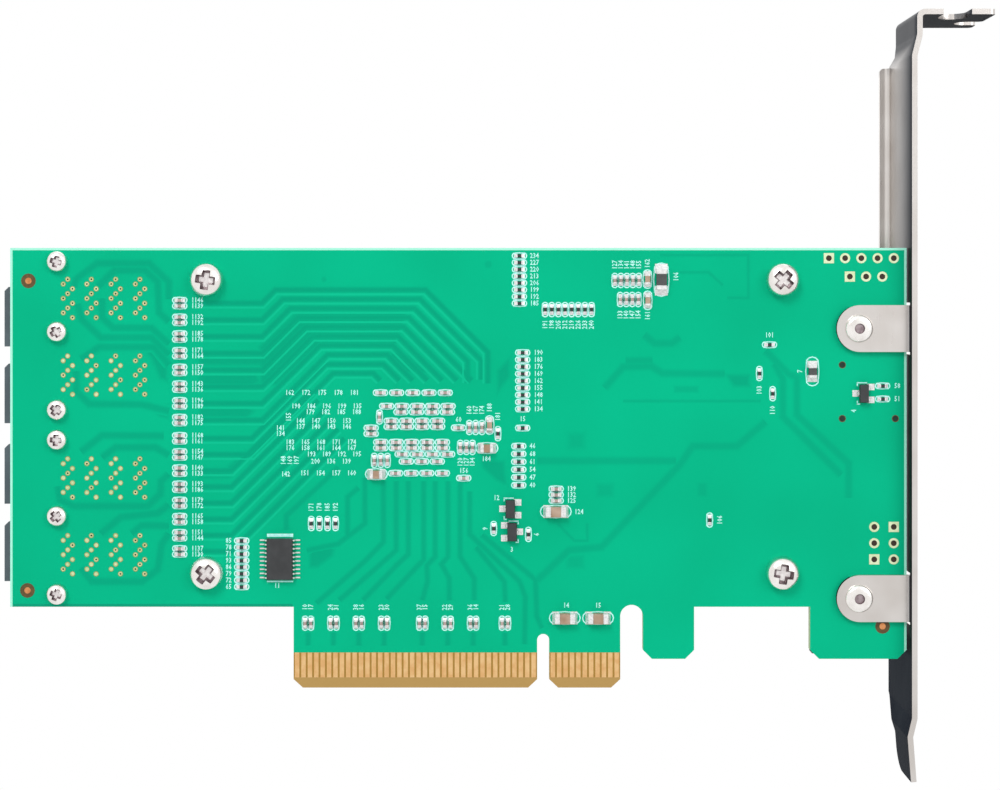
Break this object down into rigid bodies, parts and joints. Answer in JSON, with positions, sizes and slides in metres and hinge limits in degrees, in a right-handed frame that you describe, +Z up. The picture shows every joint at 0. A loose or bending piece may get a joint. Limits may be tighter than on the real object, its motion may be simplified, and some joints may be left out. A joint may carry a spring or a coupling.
{
  "type": "sas host bus adapter",
  "caption": "Low-profile storage adapter card on a full-height bracket, with an edge connector, a finned heatsink and edge-facing plug receptacles on its component side.",
  "frame": {"origin": "middle of the edge connector's key notch, at the connector's lower edge, half-way through the board", "axes": "+X along the card towards the bracket, +Y from the solder side to the component side, +Z up the card, away from the socket"},
  "size_m": [0.1551, 0.0184, 0.1201],
  "materials": {
    "laminate": "glossy green solder mask on glass-fibre laminate",
    "gold": "gold plating on copper",
    "bracket_steel": "bright nickel-plated sheet steel",
    "plated_steel": "nickel-plated steel, satin",
    "heatsink_aluminium": "natural extruded aluminium",
    "screw_steel": "bright nickel-plated steel",
    "thermal_pad": "soft grey gap filler",
    "substrate": "green package substrate",
    "nickel_lid": "nickel-plated lid, satin",
    "housing_plastic": "dark slate moulded nylon, fine matt",
    "wafer_plastic": "black moulded plastic with gold contacts",
    "moulding_epoxy": "black moulded epoxy, matt",
    "tinned_leads": "tin-plated copper, satin",
    "chip_ceramic": "tan sintered ceramic with tinned ends",
    "resistor_ceramic": "black glazed film on white ceramic with tinned ends",
    "ferrite": "dark grey ferrite",
    "tantalum_case": "black moulded case",
    "led_resin": "clear resin on a white base"
  },
  "bodies": {
    "root": {"circuit_board": "laminate", "solder_side_contacts": "gold", "component_side_contacts": "gold", "bracket": "bracket_steel", "bracket_rivets": "plated_steel", "heatsink": "heatsink_aluminium", "heatsink_screws": "screw_steel", "receptacle_screws": "screw_steel", "thermal_pad": "thermal_pad", "controller_substrate": "substrate", "controller_lid": "nickel_lid", "upper_receptacle_housing": "housing_plastic", "lower_receptacle_housing": "housing_plastic", "driver_chip_body": "moulding_epoxy", "driver_chip_leads": "tinned_leads", "chip_capacitors": "chip_ceramic", "large_capacitors": "chip_ceramic", "component_side_capacitors": "chip_ceramic", "chip_resistors": "resistor_ceramic", "power_beads": "ferrite", "transistor_bodies": "moulding_epoxy", "transistor_leads": "tinned_leads", "flash_chip_body": "moulding_epoxy", "flash_chip_leads": "tinned_leads", "oscillator": "nickel_lid", "power_inductors": "ferrite", "regulators": "moulding_epoxy", "storage_capacitors": "tantalum_case", "status_leds": "led_resin", "port_1_contact_wafers": "wafer_plastic", "port_2_contact_wafers": "wafer_plastic", "port_3_contact_wafers": "wafer_plastic", "port_4_contact_wafers": "wafer_plastic"}
  },
  "joints": []
}
